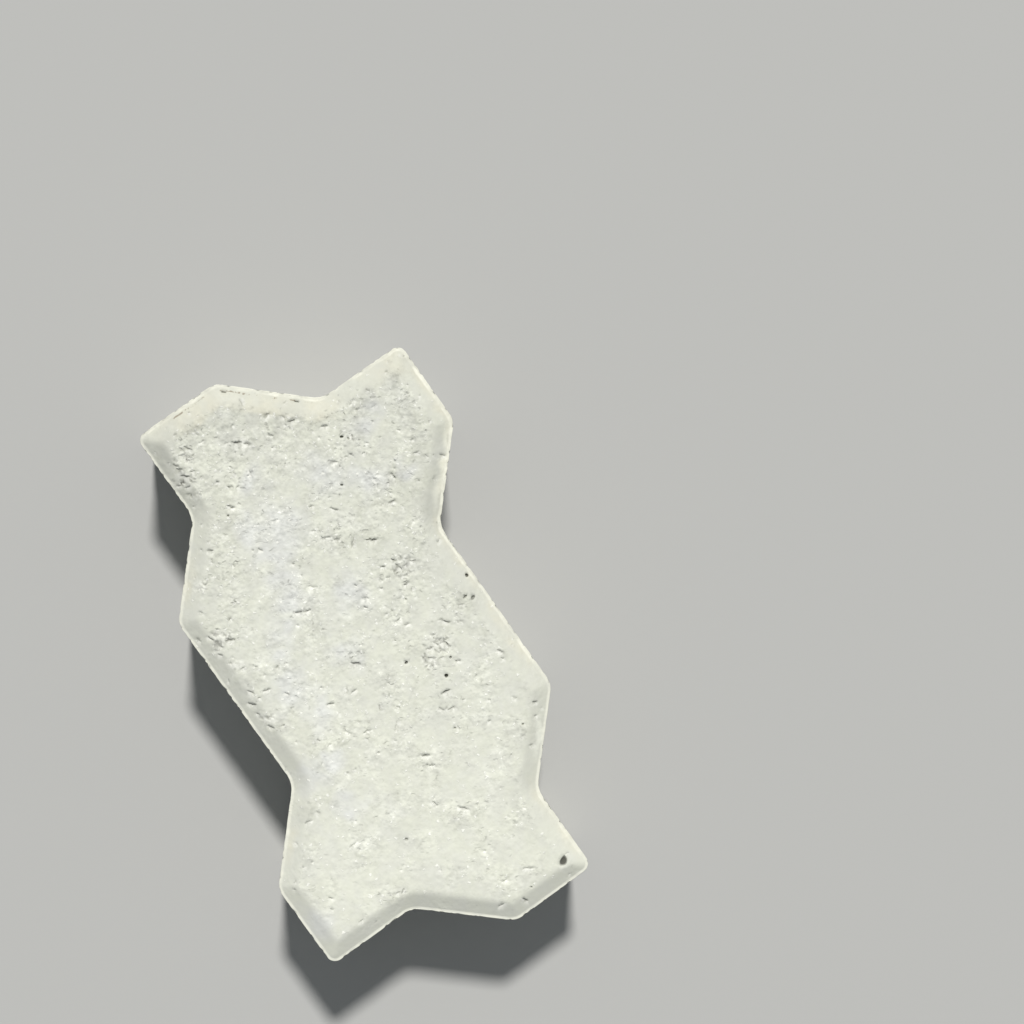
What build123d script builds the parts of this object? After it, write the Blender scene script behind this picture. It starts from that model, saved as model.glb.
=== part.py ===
from build123d import *
import os

# Interlocking concrete paving stone, pressed in one piece: two square laying modules long and one wide.
# Every side follows the same wave, so the stones lock into each other along the pavement and across it.
# Frame: millimetres, +X along the stone, +Y across it, +Z up. The origin is the centre of the underside.

# Laying grid
MODULE = 112.5  # pitch of one square module, stone and joint together
MODULES_LONG = 2
MODULES_WIDE = 1
JOINT = 2.0  # gap between two laid stones

# Wave of one module side, which swings inward near its start and as far outward near its end
BEND_RUN = 37.5  # from a module corner to the nearest bend, along the side
WAVE = 10.0  # how far each bend leaves the straight side
BEND_RADIUS = 9.0  # of the bends, measured on the laying grid
CORNER_RADIUS = 5.0  # of the four corners, measured on the laying grid

# Height and top edge
THICKNESS = 60.0
LAND = 1.2  # narrow flat step that the press leaves round the foot of the chamfer
CHAMFER_WIDTH = 6.5  # seen from above
CHAMFER_DROP = 3.5
SHARPEST_RADIUS = 1.5  # least radius that the press tool leaves on an outer angle


def module_points():
    """The 16 angles of the stone's space in the laying grid, counter-clockwise, each with its radius."""
    angles = []
    corner = Vector(-MODULES_LONG, -MODULES_WIDE) * (MODULE / 2)
    along = Vector(1, 0)
    for modules in (MODULES_LONG, MODULES_WIDE, MODULES_LONG, MODULES_WIDE):
        inward = along.rotate(Axis.Z, 90)
        angles.append((corner, CORNER_RADIUS))
        for _ in range(modules):
            first_bend = corner + along * BEND_RUN + inward * WAVE
            last_bend = corner + along * (MODULE - BEND_RUN) - inward * WAVE
            angles += [(first_bend, BEND_RADIUS), (last_bend, BEND_RADIUS)]
            corner = corner + along * MODULE
        along = inward
    return angles


def plan(inset):
    """The stone's outline as a face, drawn in from the laying grid by inset on every side."""
    angles = module_points()
    points, radii = [], []
    for i, (point, radius) in enumerate(angles):
        before, after = angles[i - 1][0], angles[(i + 1) % len(angles)][0]
        side_in = (point - before).normalized()
        side_out = (after - point).normalized()
        normal_in = side_in.rotate(Axis.Z, 90)
        normal_out = side_out.rotate(Axis.Z, 90)
        points.append(point + (normal_in + normal_out) * (inset / (1 + normal_in.dot(normal_out))))
        outer_angle = side_in.cross(side_out).Z > 0
        radii.append(max(radius - inset, SHARPEST_RADIUS) if outer_angle else radius + inset)
    return make_face(FilletPolyline(*points, radius=radii, close=True))


def paving_stone():
    """The straight-sided body up to the land, and the chamfered top that rises from it."""
    side = JOINT / 2
    land_height = THICKNESS - CHAMFER_DROP
    body = extrude(plan(side), amount=land_height)
    chamfer_foot = Pos(0, 0, land_height) * plan(side + LAND)
    wearing_face = Pos(0, 0, THICKNESS) * plan(side + LAND + CHAMFER_WIDTH)
    return body + loft([chamfer_foot, wearing_face], ruled=True)


os.makedirs("parts", exist_ok=True)
export_step(paving_stone(), "parts/paving_stone.step")
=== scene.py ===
# %% [markdown]
# # A pressed concrete paving stone
# This lesson dresses one interlocking paving stone. The stone was pressed in a steel mould in one go, so
# it is one solid piece, and what makes it look like concrete is all in its skin: a fine sandy top with
# small tears and pores, a smoother chamfer, a thin pale land around it, and coarser, more open sides.
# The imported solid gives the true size. We build a finer mesh over exactly the same shape, press all the
# relief into it, never out of it, and colour it with nodes. Blender's vector noise takes its start from
# the clock unless it has a seed, so we give it one, and every run makes the same stone.

# %% Load the solid and note its box
import math

import bmesh
import bpy
import numpy as np
from mathutils import Matrix, Vector, geometry, noise


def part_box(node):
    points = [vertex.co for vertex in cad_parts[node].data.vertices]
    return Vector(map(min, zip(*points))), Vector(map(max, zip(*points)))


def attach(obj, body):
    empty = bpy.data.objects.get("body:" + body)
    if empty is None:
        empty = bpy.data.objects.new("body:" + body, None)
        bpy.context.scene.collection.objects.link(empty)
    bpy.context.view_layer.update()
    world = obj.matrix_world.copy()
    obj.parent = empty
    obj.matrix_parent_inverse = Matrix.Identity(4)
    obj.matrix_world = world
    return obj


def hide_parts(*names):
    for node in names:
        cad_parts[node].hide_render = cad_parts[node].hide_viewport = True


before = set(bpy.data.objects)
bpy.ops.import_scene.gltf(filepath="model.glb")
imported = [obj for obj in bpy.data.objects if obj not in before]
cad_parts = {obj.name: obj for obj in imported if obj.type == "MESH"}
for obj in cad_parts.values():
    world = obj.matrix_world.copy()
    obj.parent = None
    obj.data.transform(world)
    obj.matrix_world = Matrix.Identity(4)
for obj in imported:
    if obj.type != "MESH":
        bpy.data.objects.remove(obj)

NOISE_SEED = 41
noise.seed_set(NOISE_SEED)
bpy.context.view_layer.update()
low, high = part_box("paving_stone")
print("The solid reaches from", [round(v * 1000, 1) for v in low], "to", [round(v * 1000, 1) for v in high])

# %% [markdown]
# ## The outline
# The stone fills two square laying modules. Each module side is a wave that bends in, then out, and the
# stone's own side lies one millimetre further in. We could read the outline from the solid's mesh, but
# that has uneven steps. Working it out again from the same few sizes gives a line with the same number of
# points at every inset, so two such lines can be joined by clean quads.

# %% Sizes of the stone, in millimetres
MM = 0.001
MODULE = 112.5
MODULES_LONG = 2
MODULES_WIDE = 1
JOINT = 2.0
BEND_RUN = 37.5
WAVE = 10.0
BEND_RADIUS = 9.0
CORNER_RADIUS = 5.0
SHARPEST_RADIUS = 1.5
THICKNESS = 60.0
LAND = 1.2
CHAMFER_WIDTH = 6.5
CHAMFER_DROP = 3.5
SIDE = JOINT / 2
CHAMFER_FOOT = SIDE + LAND
CHAMFER_HEAD = CHAMFER_FOOT + CHAMFER_WIDTH
LAND_HEIGHT = THICKNESS - CHAMFER_DROP
print("The chamfer ends", CHAMFER_HEAD, "mm inside the laying grid, and the land is", LAND_HEIGHT, "mm up")

# %% The angles of the outline
def module_angles():
    """The 16 angles of the two modules, counter-clockwise, each with its radius."""
    angles = []
    corner = Vector((-MODULES_LONG, -MODULES_WIDE)) * (MODULE / 2)
    along = Vector((1, 0))
    for modules in (MODULES_LONG, MODULES_WIDE, MODULES_LONG, MODULES_WIDE):
        inward = Vector((-along.y, along.x))
        angles.append((corner, CORNER_RADIUS))
        for _ in range(modules):
            angles.append((corner + along * BEND_RUN + inward * WAVE, BEND_RADIUS))
            angles.append((corner + along * (MODULE - BEND_RUN) - inward * WAVE, BEND_RADIUS))
            corner = corner + along * MODULE
        along = inward
    return angles


print("The outline has", len(module_angles()), "angles")

# %% Draw the outline at any inset
LINE_STEP = 1.05
ARC_POINTS = 9


def outline(inset, line_step=LINE_STEP):
    """The stone's plan drawn in from the laying grid by inset, as a closed array of points."""
    angles = module_angles()
    arcs = []
    for i, (point, radius) in enumerate(angles):
        before = (point - angles[i - 1][0]).normalized()
        after = (angles[(i + 1) % len(angles)][0] - point).normalized()
        turn = -before.angle_signed(after)
        left = Vector((-before.y, before.x))
        inner = point + (left + Vector((-after.y, after.x))) * (inset / (1 + before.dot(after)))
        radius = max(radius - inset, SHARPEST_RADIUS) if turn > 0 else radius + inset
        start = inner - before * radius * math.tan(abs(turn) / 2)
        centre = start + left * math.copysign(radius, turn)
        shares = [k / (ARC_POINTS - 1) for k in range(ARC_POINTS)]
        arcs.append([centre + Matrix.Rotation(turn * share, 2) @ (start - centre) for share in shares])
    line = []
    for i, arc in enumerate(arcs):
        after = (i + 1) % len(arcs)
        steps = max(1, round((angles[after][0] - angles[i][0]).length / line_step))
        line += arc
        line += [arc[-1].lerp(arcs[after][0], k / steps) for k in range(1, steps)]
    return np.array(line)


rim = outline(SIDE)
print("The outline has", len(rim), "points and spans", np.ptp(rim, axis=0).round(2), "mm")

# %% [markdown]
# ## The section through the edge
# Seen from the side, the edge is a short flat land, a straight chamfer and the flat top. No real arris is
# dead sharp: the mould's edges and a few summers of feet have taken a little off. The height of the top
# is written as a function of the inset, and its arrises are eased inwards, so it never rises above the
# solid.

# %% Height of the section at any inset
SLOPE = CHAMFER_DROP / CHAMFER_WIDTH
HEAD_EASE = 1.6
LIP_EASE = 0.3


def eased(distance, reach):
    """How much a blended arris is eased: 1 on the arris, 0 from reach onwards."""
    return np.clip(1 - np.abs(distance) / reach, 0, 1) ** 2


def top_height(inset):
    """Height of the top at an inset."""
    sharp = np.clip((inset - CHAMFER_FOOT) * SLOPE, 0, CHAMFER_DROP) + LAND_HEIGHT
    head = eased(inset - CHAMFER_HEAD, HEAD_EASE) * SLOPE * HEAD_EASE / 4
    lip = eased(inset - SIDE, LIP_EASE) * LIP_EASE / 2
    return sharp - head - lip


for inset in (SIDE, CHAMFER_FOOT, CHAMFER_HEAD):
    print(f"At inset {inset:.1f} mm the top is {top_height(inset):.2f} mm high")

# %% [markdown]
# ## Pores and tears
# Where an air bubble was trapped, the concrete has a pore: a roundish hole with a steep wall. Where the
# press head lifted a flake of cement as it drew back, it has a tear: a curved lip, a steep little wall
# below it and a floor that rises again. In slanting light a tear shows as a dark stroke with a pale rim.
# Each kind is a small class that knows its depth at any place, and the points that a mesh needs to show
# it. Lengths are in millimetres; a heading is the direction of its long side. A pore gets an uneven rim
# from a few waves. A tear is drawn regular and then bent by noise, so that no two look alike.

# %% Bend a shape by noise
# Marks and stains read noise in plan, each use at a level of its own, so that no two patterns are alike
BEND_LEVEL = 1.5
BEND_SIZE = 1.3
BEND_DISTANCE = 0.55


def bend_of(points, size, distance):
    """How far noise with lumps of a size pushes each point."""
    pushes = [noise.noise_vector(Vector((x, y, BEND_LEVEL)) / size)[:2] for x, y in points]
    return np.array(pushes).reshape(-1, 2) * distance


print("A point is bent by", bend_of([(10, 10)], BEND_SIZE, BEND_DISTANCE)[0].round(2), "mm")

# %% A pore
class Pore:
    # Its rings as shares of the rim, and the waves of the rim as counts and heights
    RINGS = (1.0, 0.9, 0.65)
    WAVES = ((2, 0.06), (3, 0.08), (5, 0.04))
    WIDEST = 1.2
    LARGE = 2.0
    SPOKES, MORE_SPOKES = 10, 16
    BENT = False

    def __init__(self, x, y, length, width, heading, depth, seed):
        self.spokes = self.MORE_SPOKES if length > self.LARGE else self.SPOKES
        self.place = np.array([x, y])
        self.radii = np.array([length, width]) / 2
        self.heading = math.radians(heading)
        self.depth = depth
        self.seed = seed

    def frame(self):
        """The pore's own axes, as the rows of a matrix."""
        c, s = math.cos(self.heading), math.sin(self.heading)
        return np.array([[c, s], [-s, c]])

    def uneven(self, bearing):
        """The rim's radius by bearing, as a share of the ellipse."""
        return 1 + sum(size * np.cos(count * bearing + self.seed * count) for count, size in self.WAVES)

    def net_points(self):
        """The points of the mesh that show the pore."""
        bearings = np.arange(self.spokes) / self.spokes * math.tau
        rim_line = np.stack([np.cos(bearings), np.sin(bearings)], 1) * self.uneven(bearings)[:, None]
        rings = [rim_line * share * self.radii @ self.frame() + self.place for share in self.RINGS]
        return np.vstack([*rings, self.place[None]])

    def depth_at(self, points):
        """Depth of the pore at each point: a steep wall and a round floor."""
        local = (points - self.place) @ self.frame().T / self.radii
        reach = np.hypot(*local.T) / self.uneven(np.arctan2(local[:, 1], local[:, 0]))
        fall = np.clip((1 - reach) / (1 - self.RINGS[-1]), 0, 1)
        return self.depth * fall * (2 - fall)

    def pale_at(self, points):
        """A pore has no pale rim."""
        return np.zeros(len(points))

    def covers(self, points, margin):
        """Which points lie in the pore or within a margin of it."""
        return np.hypot(*(points - self.place).T) < self.size() + margin

    def size(self):
        """The pore's reach from its middle."""
        return self.radii.max() * self.WIDEST


pore = Pore(0, 0, 2, 2, 0, 1, 0)
print("A pore has", len(pore.net_points()), "points and is", pore.depth_at(np.zeros((1, 2)))[0], "mm deep")

# %% A tear
class Tear:
    WALL = 0.2
    COLUMN = 0.5
    LEAST_COLUMNS, MOST_COLUMNS = 3, 12
    FLOOR_AT_ENDS = 0.35
    # The pale rim begins on the floor, fades in, and reaches past it, in shares of the width; it is bare
    # cement with a painted highlight
    PALE_FROM = 0.3
    PALE_OVER = 0.3
    RIM = 1.3
    PALE_FULL_DEPTH = 0.4
    BENT = True

    def __init__(self, x, y, length, width, heading, depth, bow):
        self.place = np.array([x, y])
        self.half = length / 2
        self.width = width
        self.heading = math.radians(heading)
        self.depth = depth
        self.bow = bow

    def frame(self):
        """Along the lip, and across it towards the floor."""
        c, s = math.cos(self.heading), math.sin(self.heading)
        return np.array([[c, s], [s, -c]])

    def lip(self, along):
        """How far the lip bows across, at a distance along it."""
        return self.bow * (along / self.half) ** 2

    def end(self, along):
        """1 in the middle of the lip, 0 at its ends."""
        return np.sqrt(np.clip(1 - (along / self.half) ** 2, 0, 1))

    def floor_width(self, along):
        """Width of the rising floor, which narrows towards the ends."""
        return self.width * (self.FLOOR_AT_ENDS + (1 - self.FLOOR_AT_ENDS) * self.end(along))

    def net_points(self):
        """The points of the mesh: the lip, the foot of the wall, and the middle and the end of the floor."""
        columns = round(self.half * 2 / self.COLUMN) + 1
        along = np.linspace(-1, 1, int(np.clip(columns, self.LEAST_COLUMNS, self.MOST_COLUMNS))) * self.half
        floor = self.floor_width(along)
        rows = [np.stack([along, self.lip(along)], 1)]
        for reach in (self.WALL, floor / 2, floor):
            rows.append(np.stack([along, self.lip(along) + reach], 1)[1:-1])
        return np.vstack(rows) @ self.frame() + self.place

    def depth_at(self, points):
        """Depth of the tear at each point: a steep wall at the lip and a floor that rises from it."""
        along, across = ((points - self.place) @ self.frame().T).T
        below = across - self.lip(along)
        wall = np.clip(below / self.WALL, 0, 1)
        share = np.clip((below - self.WALL) / self.floor_width(along), 0, 1)
        return self.depth * self.end(along) * wall * (1 - share**2)

    def pale_at(self, points):
        """Fresh cement and a painted highlight on the floor, which rises to the lamp, and just beyond it."""
        along, across = ((points - self.place) @ self.frame().T).T
        share = (across - self.lip(along)) / self.width
        band = np.clip((share - self.PALE_FROM) / self.PALE_OVER, 0, 1)
        band = band * np.clip((1.0 + self.RIM - share) / self.RIM, 0, 1)
        return band * self.end(along) * min(1, self.depth / self.PALE_FULL_DEPTH)

    def covers(self, points, margin):
        """Which points lie in the tear, on its pale rim or within a margin of them."""
        along, across = ((points - self.place) @ self.frame().T).T
        below = across - self.lip(along)
        deep_enough = (below > -margin) & (below < self.width * (1 + self.RIM) + margin)
        return (np.abs(along) < self.half + margin) & deep_enough

    def size(self):
        """The tear's reach from its middle."""
        return max(self.half, self.width)


print("A tear 3 mm long has", len(Tear(0, 0, 3, 0.8, 0, 0.6, 0).net_points()), "points")

# %% [markdown]
# ## Open patches
# In a few places the fine mortar did not close, and the tips of the sand grains stand free with gaps
# between them. A cell noise gives such grains: it is deep where two cells are equally near. Noise bends
# the cells first, so that no two grains are alike. The mesh is finer there.

# %% An open patch
class OpenPatch:
    GRAIN, GRAIN_LEVEL = 2.2, 2.0
    GAP = 0.24
    # Three noises, each with its level and the size of its lumps: one bends the grains and says how far, one
    # closes some of the gaps, and one makes the border ragged
    BEND_LEVEL, BEND_SIZE, BEND = 7.0, 1.8, 1.1
    FREE_LEVEL, FREE_SIZE, FREE_SHARE, FREE_SPREAD = 9.0, 2.6, 0.4, 2.0
    RAGGED_LEVEL, RAGGED_SIZE, RAGGED = 4.0, 3.0, 0.3
    FADE = 0.4
    CLEAN = 0.5
    BENT = False

    def __init__(self, x, y, radius, depth):
        self.place = np.array([x, y])
        self.radius = radius
        self.depth = depth

    def strength(self, points):
        """1 in the middle, 0 outside, with an uneven border."""
        places = [Vector((x, y, self.RAGGED_LEVEL)) / self.RAGGED_SIZE for x, y in points]
        ragged = np.array([noise.noise(place) for place in places])
        reach = np.hypot(*(points - self.place).T) / self.radius + self.RAGGED * (1 + ragged)
        return np.clip((1 - reach) / self.FADE, 0, 1)

    def gap_at(self, x, y):
        """How deep a gap between grains is, from 0, on a grain, to 1."""
        bend = self.BEND * noise.noise_vector(Vector((x, y, self.BEND_LEVEL)) / self.BEND_SIZE)
        near = noise.voronoi((Vector((x, y, self.GRAIN_LEVEL)) + bend) / self.GRAIN)[0]
        return max(0, 1 - (near[1] - near[0]) / self.GAP)

    def depth_at(self, points):
        """Depth of the gaps at each point; here and there cement still closes them."""
        gaps = np.array([self.gap_at(x, y) for x, y in points])
        found = [noise.noise(Vector((x, y, self.FREE_LEVEL)) / self.FREE_SIZE) for x, y in points]
        free = np.clip(self.FREE_SHARE + self.FREE_SPREAD * np.array(found), 0, 1)
        return self.depth * self.strength(points) * gaps * free

    def pale_at(self, points):
        """The freed grains are clean."""
        return self.CLEAN * self.strength(points)

    def covers(self, points, margin):
        """Which points lie in the patch or within a margin of it."""
        return np.hypot(*(points - self.place).T) < self.radius + margin


in_gap = [OpenPatch(0, 0, 5, 1).gap_at(x, 0) > 0 for x in range(100)]
print("Of 100 places in an open patch,", sum(in_gap), "lie in a gap")

# %% [markdown]
# ## Which marks the top has
# The marks that tell this stone from any other are listed one by one. The many small ones between them
# come from a generator with a fixed seed, so every run gives the same stone. The lips run mostly across
# the stone, because the feed drawer wiped the mould that way.

# %% Pores and nicks, in millimetres and degrees
# Place, length, width, heading and depth
PORES = [
    (105.2, 44.7, 4.3, 3.2, 127, 1.2),
    (19.0, 26.7, 1.8, 1.7, 0, 1.4),
    (-6.3, 47.4, 2.2, 1.5, 130, 0.85),
    (-7.8, 44.6, 2.2, 0.9, 110, 0.8),
    (-15.4, 48.3, 1.8, 1.4, 10, 1.1),
    (-84.3, 20.8, 1.7, 1.1, 70, 1.0),
    (8.5, 13.6, 1.6, 1.2, 110, 1.0),
    (-66.4, 14.2, 1.3, 1.0, 70, 0.8),
    (74.3, -10.7, 1.5, 1.2, 70, 0.6),
    (48.0, 48.5, 1.1, 0.9, 90, 0.6),
    (12.8, 30.8, 1.2, 1.0, 0, 0.8),
]
# Nicks along the foot of the chamfer: place, length and heading
NICKS = [
    (-118.7, -21.1, 1.6, 62), (-116.8, -16.6, 2.4, 62), (-114.6, -11.9, 4.0, 62), (-111.1, -4.8, 3.0, 62),
    (-108.2, 0.8, 2.2, 62), (-115.3, -34.3, 2.4, 105), (-117.0, -29.8, 1.8, 105), (-103.5, 9.0, 2.2, 62),
    (-49.0, 49.6, 2.6, 152), (-56.0, 53.4, 2.0, 152), (-45.0, 47.6, 2.0, 152),
]
NICK_WIDTH = 0.6
NICK_DEPTH = 0.6
print("Placed by hand:", len(PORES), "pores and", len(NICKS), "nicks")

# %% Tears and open patches, listed one by one
# Place, length and heading, and depth as a share of the width
TEARS = [
    (-97.8, -22.3, 2.2, 85, 0.5), (-96.8, -18.6, 4.4, 74, 1.0), (-94.7, -15.0, 3.2, 52, 1.0),
    (-94.6, -4.8, 3.2, 64, 0.6), (-99.4, 2.2, 2.4, 36, 0.7), (-97.4, 4.6, 3.4, 88, 1.0),
    (-100.9, -37.0, 3.4, 50, 0.8), (-99.6, -40.2, 3.6, 98, 0.7), (-96.4, -44.0, 3.0, 52, 0.8),
    (-94.2, -43.0, 3.4, 60, 0.8), (-91.2, -41.8, 4.2, 66, 1.0), (-92.0, -38.6, 2.6, 84, 0.7),
    (-87.0, -42.6, 2.8, 96, 0.8), (-88.8, -45.6, 2.4, 62, 0.8), (-84.2, -43.5, 2.0, 88, 0.6),
    (-81.4, -27.2, 3.4, 62, 0.8), (-80.2, -24.4, 1.8, 100, 0.7), (-73.7, -29.3, 3.4, 58, 0.9),
    (-58.6, 8.4, 4.2, 54, 0.7), (-53.5, 30.5, 3.6, 90, 0.8), (-42.4, 18.0, 5.0, 70, 1.0),
    (-53.7, -24.3, 3.2, 44, 0.7), (-60.2, -43.1, 3.0, 78, 0.8), (-31.8, 23.4, 2.8, 54, 1.0),
    (-28.6, 24.2, 3.2, 36, 1.0), (-28.0, 26.4, 2.2, 95, 0.9), (-30.6, 18.2, 2.8, 76, 0.9),
    (-26.0, 18.8, 2.2, 70, 0.7), (-24.4, 24.7, 1.8, 60, 0.9), (-21.2, 24.4, 2.6, 92, 1.0),
    (-26.2, 16.0, 2.0, 40, 0.6), (-21.3, 7.4, 3.4, 72, 0.5), (-24.8, -15.7, 3.6, 96, 0.8),
    (-3.2, 32.4, 2.4, 98, 0.7), (-1.7, 34.0, 3.8, 52, 1.0), (0.2, 39.6, 2.2, 60, 0.5),
    (1.3, -5.2, 4.4, 70, 1.0), (5.4, 27.4, 2.8, 40, 0.8), (6.0, 29.2, 2.0, 104, 0.7),
    (7.4, 31.8, 3.8, 26, 1.0), (6.2, 24.4, 3.4, 82, 0.8), (9.8, 23.3, 5.0, 76, 0.6),
    (14.9, 33.2, 2.8, 66, 0.8), (11.4, 27.4, 2.4, 84, 0.5), (20.2, 50.2, 2.4, 70, 0.6),
    (-5.8, 19.3, 2.8, 88, 0.6), (12.8, -20.0, 3.4, 74, 0.8), (11.5, -9.7, 2.6, 105, 0.7),
    (13.2, -45.0, 3.0, 48, 0.9), (-1.1, -41.6, 3.6, 90, 0.8), (3.2, -34.3, 2.2, 46, 0.7),
    (30.6, 20.6, 3.0, 50, 0.7), (31.6, 24.2, 3.4, 98, 0.7), (28.2, -10.4, 3.8, 100, 0.6),
    (23.6, 4.4, 2.4, 58, 0.6), (30.2, 29.7, 2.2, 80, 0.6), (53.3, -44.6, 3.2, 105, 0.7),
    (56.9, 48.9, 2.2, 88, 0.6), (114.2, 25.3, 3.4, 34, 0.9), (112.4, 15.2, 2.8, 100, 0.8),
    (-27.9, -54.7, 3.5, 39, 0.9), (-24.9, -48.1, 5.0, 74, 0.9), (-23.6, -52.2, 3.2, 35, 0.9),
    (-33.0, -10.2, 4.2, 62, 0.4), (-2.4, -47.4, 3.4, 43, 0.8), (2.3, -48.6, 3.8, 54, 0.9),
    (6.7, -47.8, 2.2, 46, 0.7), (-38.6, -54.7, 1.9, 47, 0.7), (-12.3, -47.3, 2.3, 96, 0.8),
    (0.9, -45.4, 2.0, 70, 0.8), (-30.2, -51.2, 2.0, 60, 0.8), (-20.4, -53.6, 2.4, 60, 0.8),
    (36.4, 49.6, 2.6, 50, 0.5), (31.2, 22.2, 1.8, 130, 0.6), (-68.2, 10.6, 2.2, 66, 0.5),
]
# Place, radius and depth
OPEN_PATCHES = [
    (-99.0, -40.0, 6.5, 1.0),
    (-90.5, -43.0, 7.5, 1.1),
    (-82.0, -41.0, 5.0, 0.8),
    (-28.0, 25.0, 8.5, 1.1),
    (6.5, 29.0, 8.0, 0.9),
    (-25.0, -52.0, 8.0, 0.8),
    (-14.5, -50.0, 6.0, 0.8),
    (-95.0, -16.0, 7.0, 0.7),
    (11.0, 22.0, 6.0, 0.9),
    (10.0, -45.5, 6.0, 0.7),
    (-48.0, -52.0, 5.0, 0.6),
]
print("Placed by hand:", len(TEARS), "tears and", len(OPEN_PATCHES), "open patches")

# %% Where the surface stayed open
OPEN_SIZE = 11.0
NARROWER = 3
HALF_OPEN = 0.45
BROAD_LEVEL, BROAD_SHARE = 21.0, 1.1
NARROW_LEVEL, NARROW_SHARE = 5.0, 0.4
CLOSED_PER_MM = 0.0030


def openness(x, y, closed_per_mm=CLOSED_PER_MM):
    """How open the surface is: 0 is well closed, 1 is rough. The top closed better towards +X."""
    broad = BROAD_SHARE * noise.noise(Vector((x, y, BROAD_LEVEL)) / OPEN_SIZE)
    narrow = NARROW_SHARE * noise.noise(Vector((x, y, NARROW_LEVEL)) / OPEN_SIZE * NARROWER)
    return min(1, max(0, HALF_OPEN - closed_per_mm * x + broad + narrow))


print("Openness at the head and at the foot:", round(openness(-90, 0), 2), round(openness(90, 0), 2))

# %% Draw a random mark
RANDOM_SEED = 41
HALF_TURN = 180
ACROSS = 70
HEADINGS_SPREAD = 38
LEAST_TEAR = 0.9
MORE_TEAR = 0.95
LONGEST_TEAR = 5.5
# Least and most: the width by the root of the length, and the depth and the bow by the width
TEAR_WIDTHS = (0.3, 0.6)
TEAR_DEPTHS = (0.4, 0.9)
TEAR_BOWS = (-0.2, 0.4)
# Least and most: the length, the width by the length, the depth by the width, and the seed of the rim
PORE_LENGTHS = (0.6, 1.3)
PORE_WIDTHS = (0.6, 0.95)
PORE_DEPTHS = (0.4, 0.9)
PORE_SEEDS = (0, 6)
rng = np.random.default_rng(RANDOM_SEED)


def random_tear(x, y):
    """A tear: most are small, a few are long."""
    length = min(LONGEST_TEAR, LEAST_TEAR + rng.exponential(MORE_TEAR))
    width = rng.uniform(*TEAR_WIDTHS) * math.sqrt(length)
    depth = width * rng.uniform(*TEAR_DEPTHS)
    heading = rng.normal(ACROSS, HEADINGS_SPREAD)
    return Tear(x, y, length, width, heading, depth, rng.uniform(*TEAR_BOWS) * width)


def random_pore(x, y):
    """A pinhole of about a millimetre."""
    length = rng.uniform(*PORE_LENGTHS)
    width = length * rng.uniform(*PORE_WIDTHS)
    heading = rng.uniform(0, HALF_TURN)
    return Pore(x, y, length, width, heading, width * rng.uniform(*PORE_DEPTHS), rng.uniform(*PORE_SEEDS))


def clear_of(mark, others, closest=1.0):
    """Whether a mark lies free of those already placed."""
    return all(np.hypot(*(mark.place - o.place)) > closest * (mark.size() + o.size()) for o in others)


print("Tears are from", LEAST_TEAR, "to", LONGEST_TEAR, "mm long and lie near", ACROSS, "degrees")

# %% Collect the marks
HAND_TEAR_WIDTH = 0.46
SMALL_TEARS = 1500
SMALL_PORES = 60
CLOSEST = 0.7
SHARE_KEPT = 0.50
patches = [OpenPatch(*values) for values in OPEN_PATCHES]
marks = [Pore(*values, rng.uniform(*PORE_SEEDS)) for values in PORES]
for x, y, length, heading in NICKS:
    marks.append(Pore(x, y, length, NICK_WIDTH, heading, NICK_DEPTH, rng.uniform(*PORE_SEEDS)))
for x, y, length, heading, share in TEARS:
    width = HAND_TEAR_WIDTH * math.sqrt(length)
    marks.append(Tear(x, y, length, width, heading, width * share, rng.uniform(*TEAR_BOWS) * width))
reach = np.abs(rim).max(axis=0)
for number in range(SMALL_TEARS + SMALL_PORES):
    x, y = rng.uniform(-reach, reach)
    mark = random_tear(x, y) if number < SMALL_TEARS else random_pore(x, y)
    if rng.random() < SHARE_KEPT * openness(x, y) and clear_of(mark, marks, CLOSEST):
        marks.append(mark)
print("The top gets up to", len(marks), "marks")

# %% [markdown]
# ## The net of the top
# A flat face could be one large polygon, but relief needs points. A plain grid would leave a ragged
# border, so a constrained Delaunay triangulation joins three sets of points: the border line, a
# triangular lattice, and the points of every mark.

# %% Points inside a border
LEAST_CLIMB = 1e-12


def lattice(least, most, spacing):
    """A triangular lattice of points between two corners."""
    rows = np.arange(least[1], most[1], spacing * math.sqrt(3) / 2)
    columns = np.arange(least[0], most[0], spacing)
    return np.array([(x + spacing / 2 * (k % 2), y) for k, y in enumerate(rows) for x in columns])


def distance_inside(points, border):
    """Distance of points from a closed line, positive inside it and negative outside."""
    crossings = np.zeros(len(points), bool)
    nearest = np.full(len(points), np.inf)
    for a, b in zip(border, np.roll(border, -1, axis=0)):
        side = b - a
        offset = points - a
        share = np.clip(offset @ side / (side @ side), 0, 1)
        nearest = np.minimum(nearest, np.hypot(*(offset - share[:, None] * side).T))
        spans = (a[1] > points[:, 1]) != (b[1] > points[:, 1])
        climb = side[1] if side[1] else LEAST_CLIMB
        crossings ^= spans & (points[:, 0] < a[0] + (points[:, 1] - a[1]) * side[0] / climb)
    return np.where(crossings, nearest, -nearest)


print("The middle of the stone lies", distance_inside(np.zeros((1, 2)), rim)[0].round(1), "mm inside its rim")

# %% A net of triangles that follows the marks
PATCH_SPACING = 0.42
PATCH_MARGIN = 0.2
CLEARANCE = 0.3
INSIDE_BORDER = 1
MERGED_WITHIN = 1e-6


def triangulate(border, points):
    """Joins a border and the points inside it into triangles; the border's points come first."""
    count = len(border)
    ring = [(k, (k + 1) % count) for k in range(count)]
    every = [Vector(p) for p in np.vstack([border, points])]
    places, _, faces, *_ = geometry.delaunay_2d_cdt(every, ring, [], INSIDE_BORDER, MERGED_WITHIN)
    return np.array([tuple(p) for p in places]), faces


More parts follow.
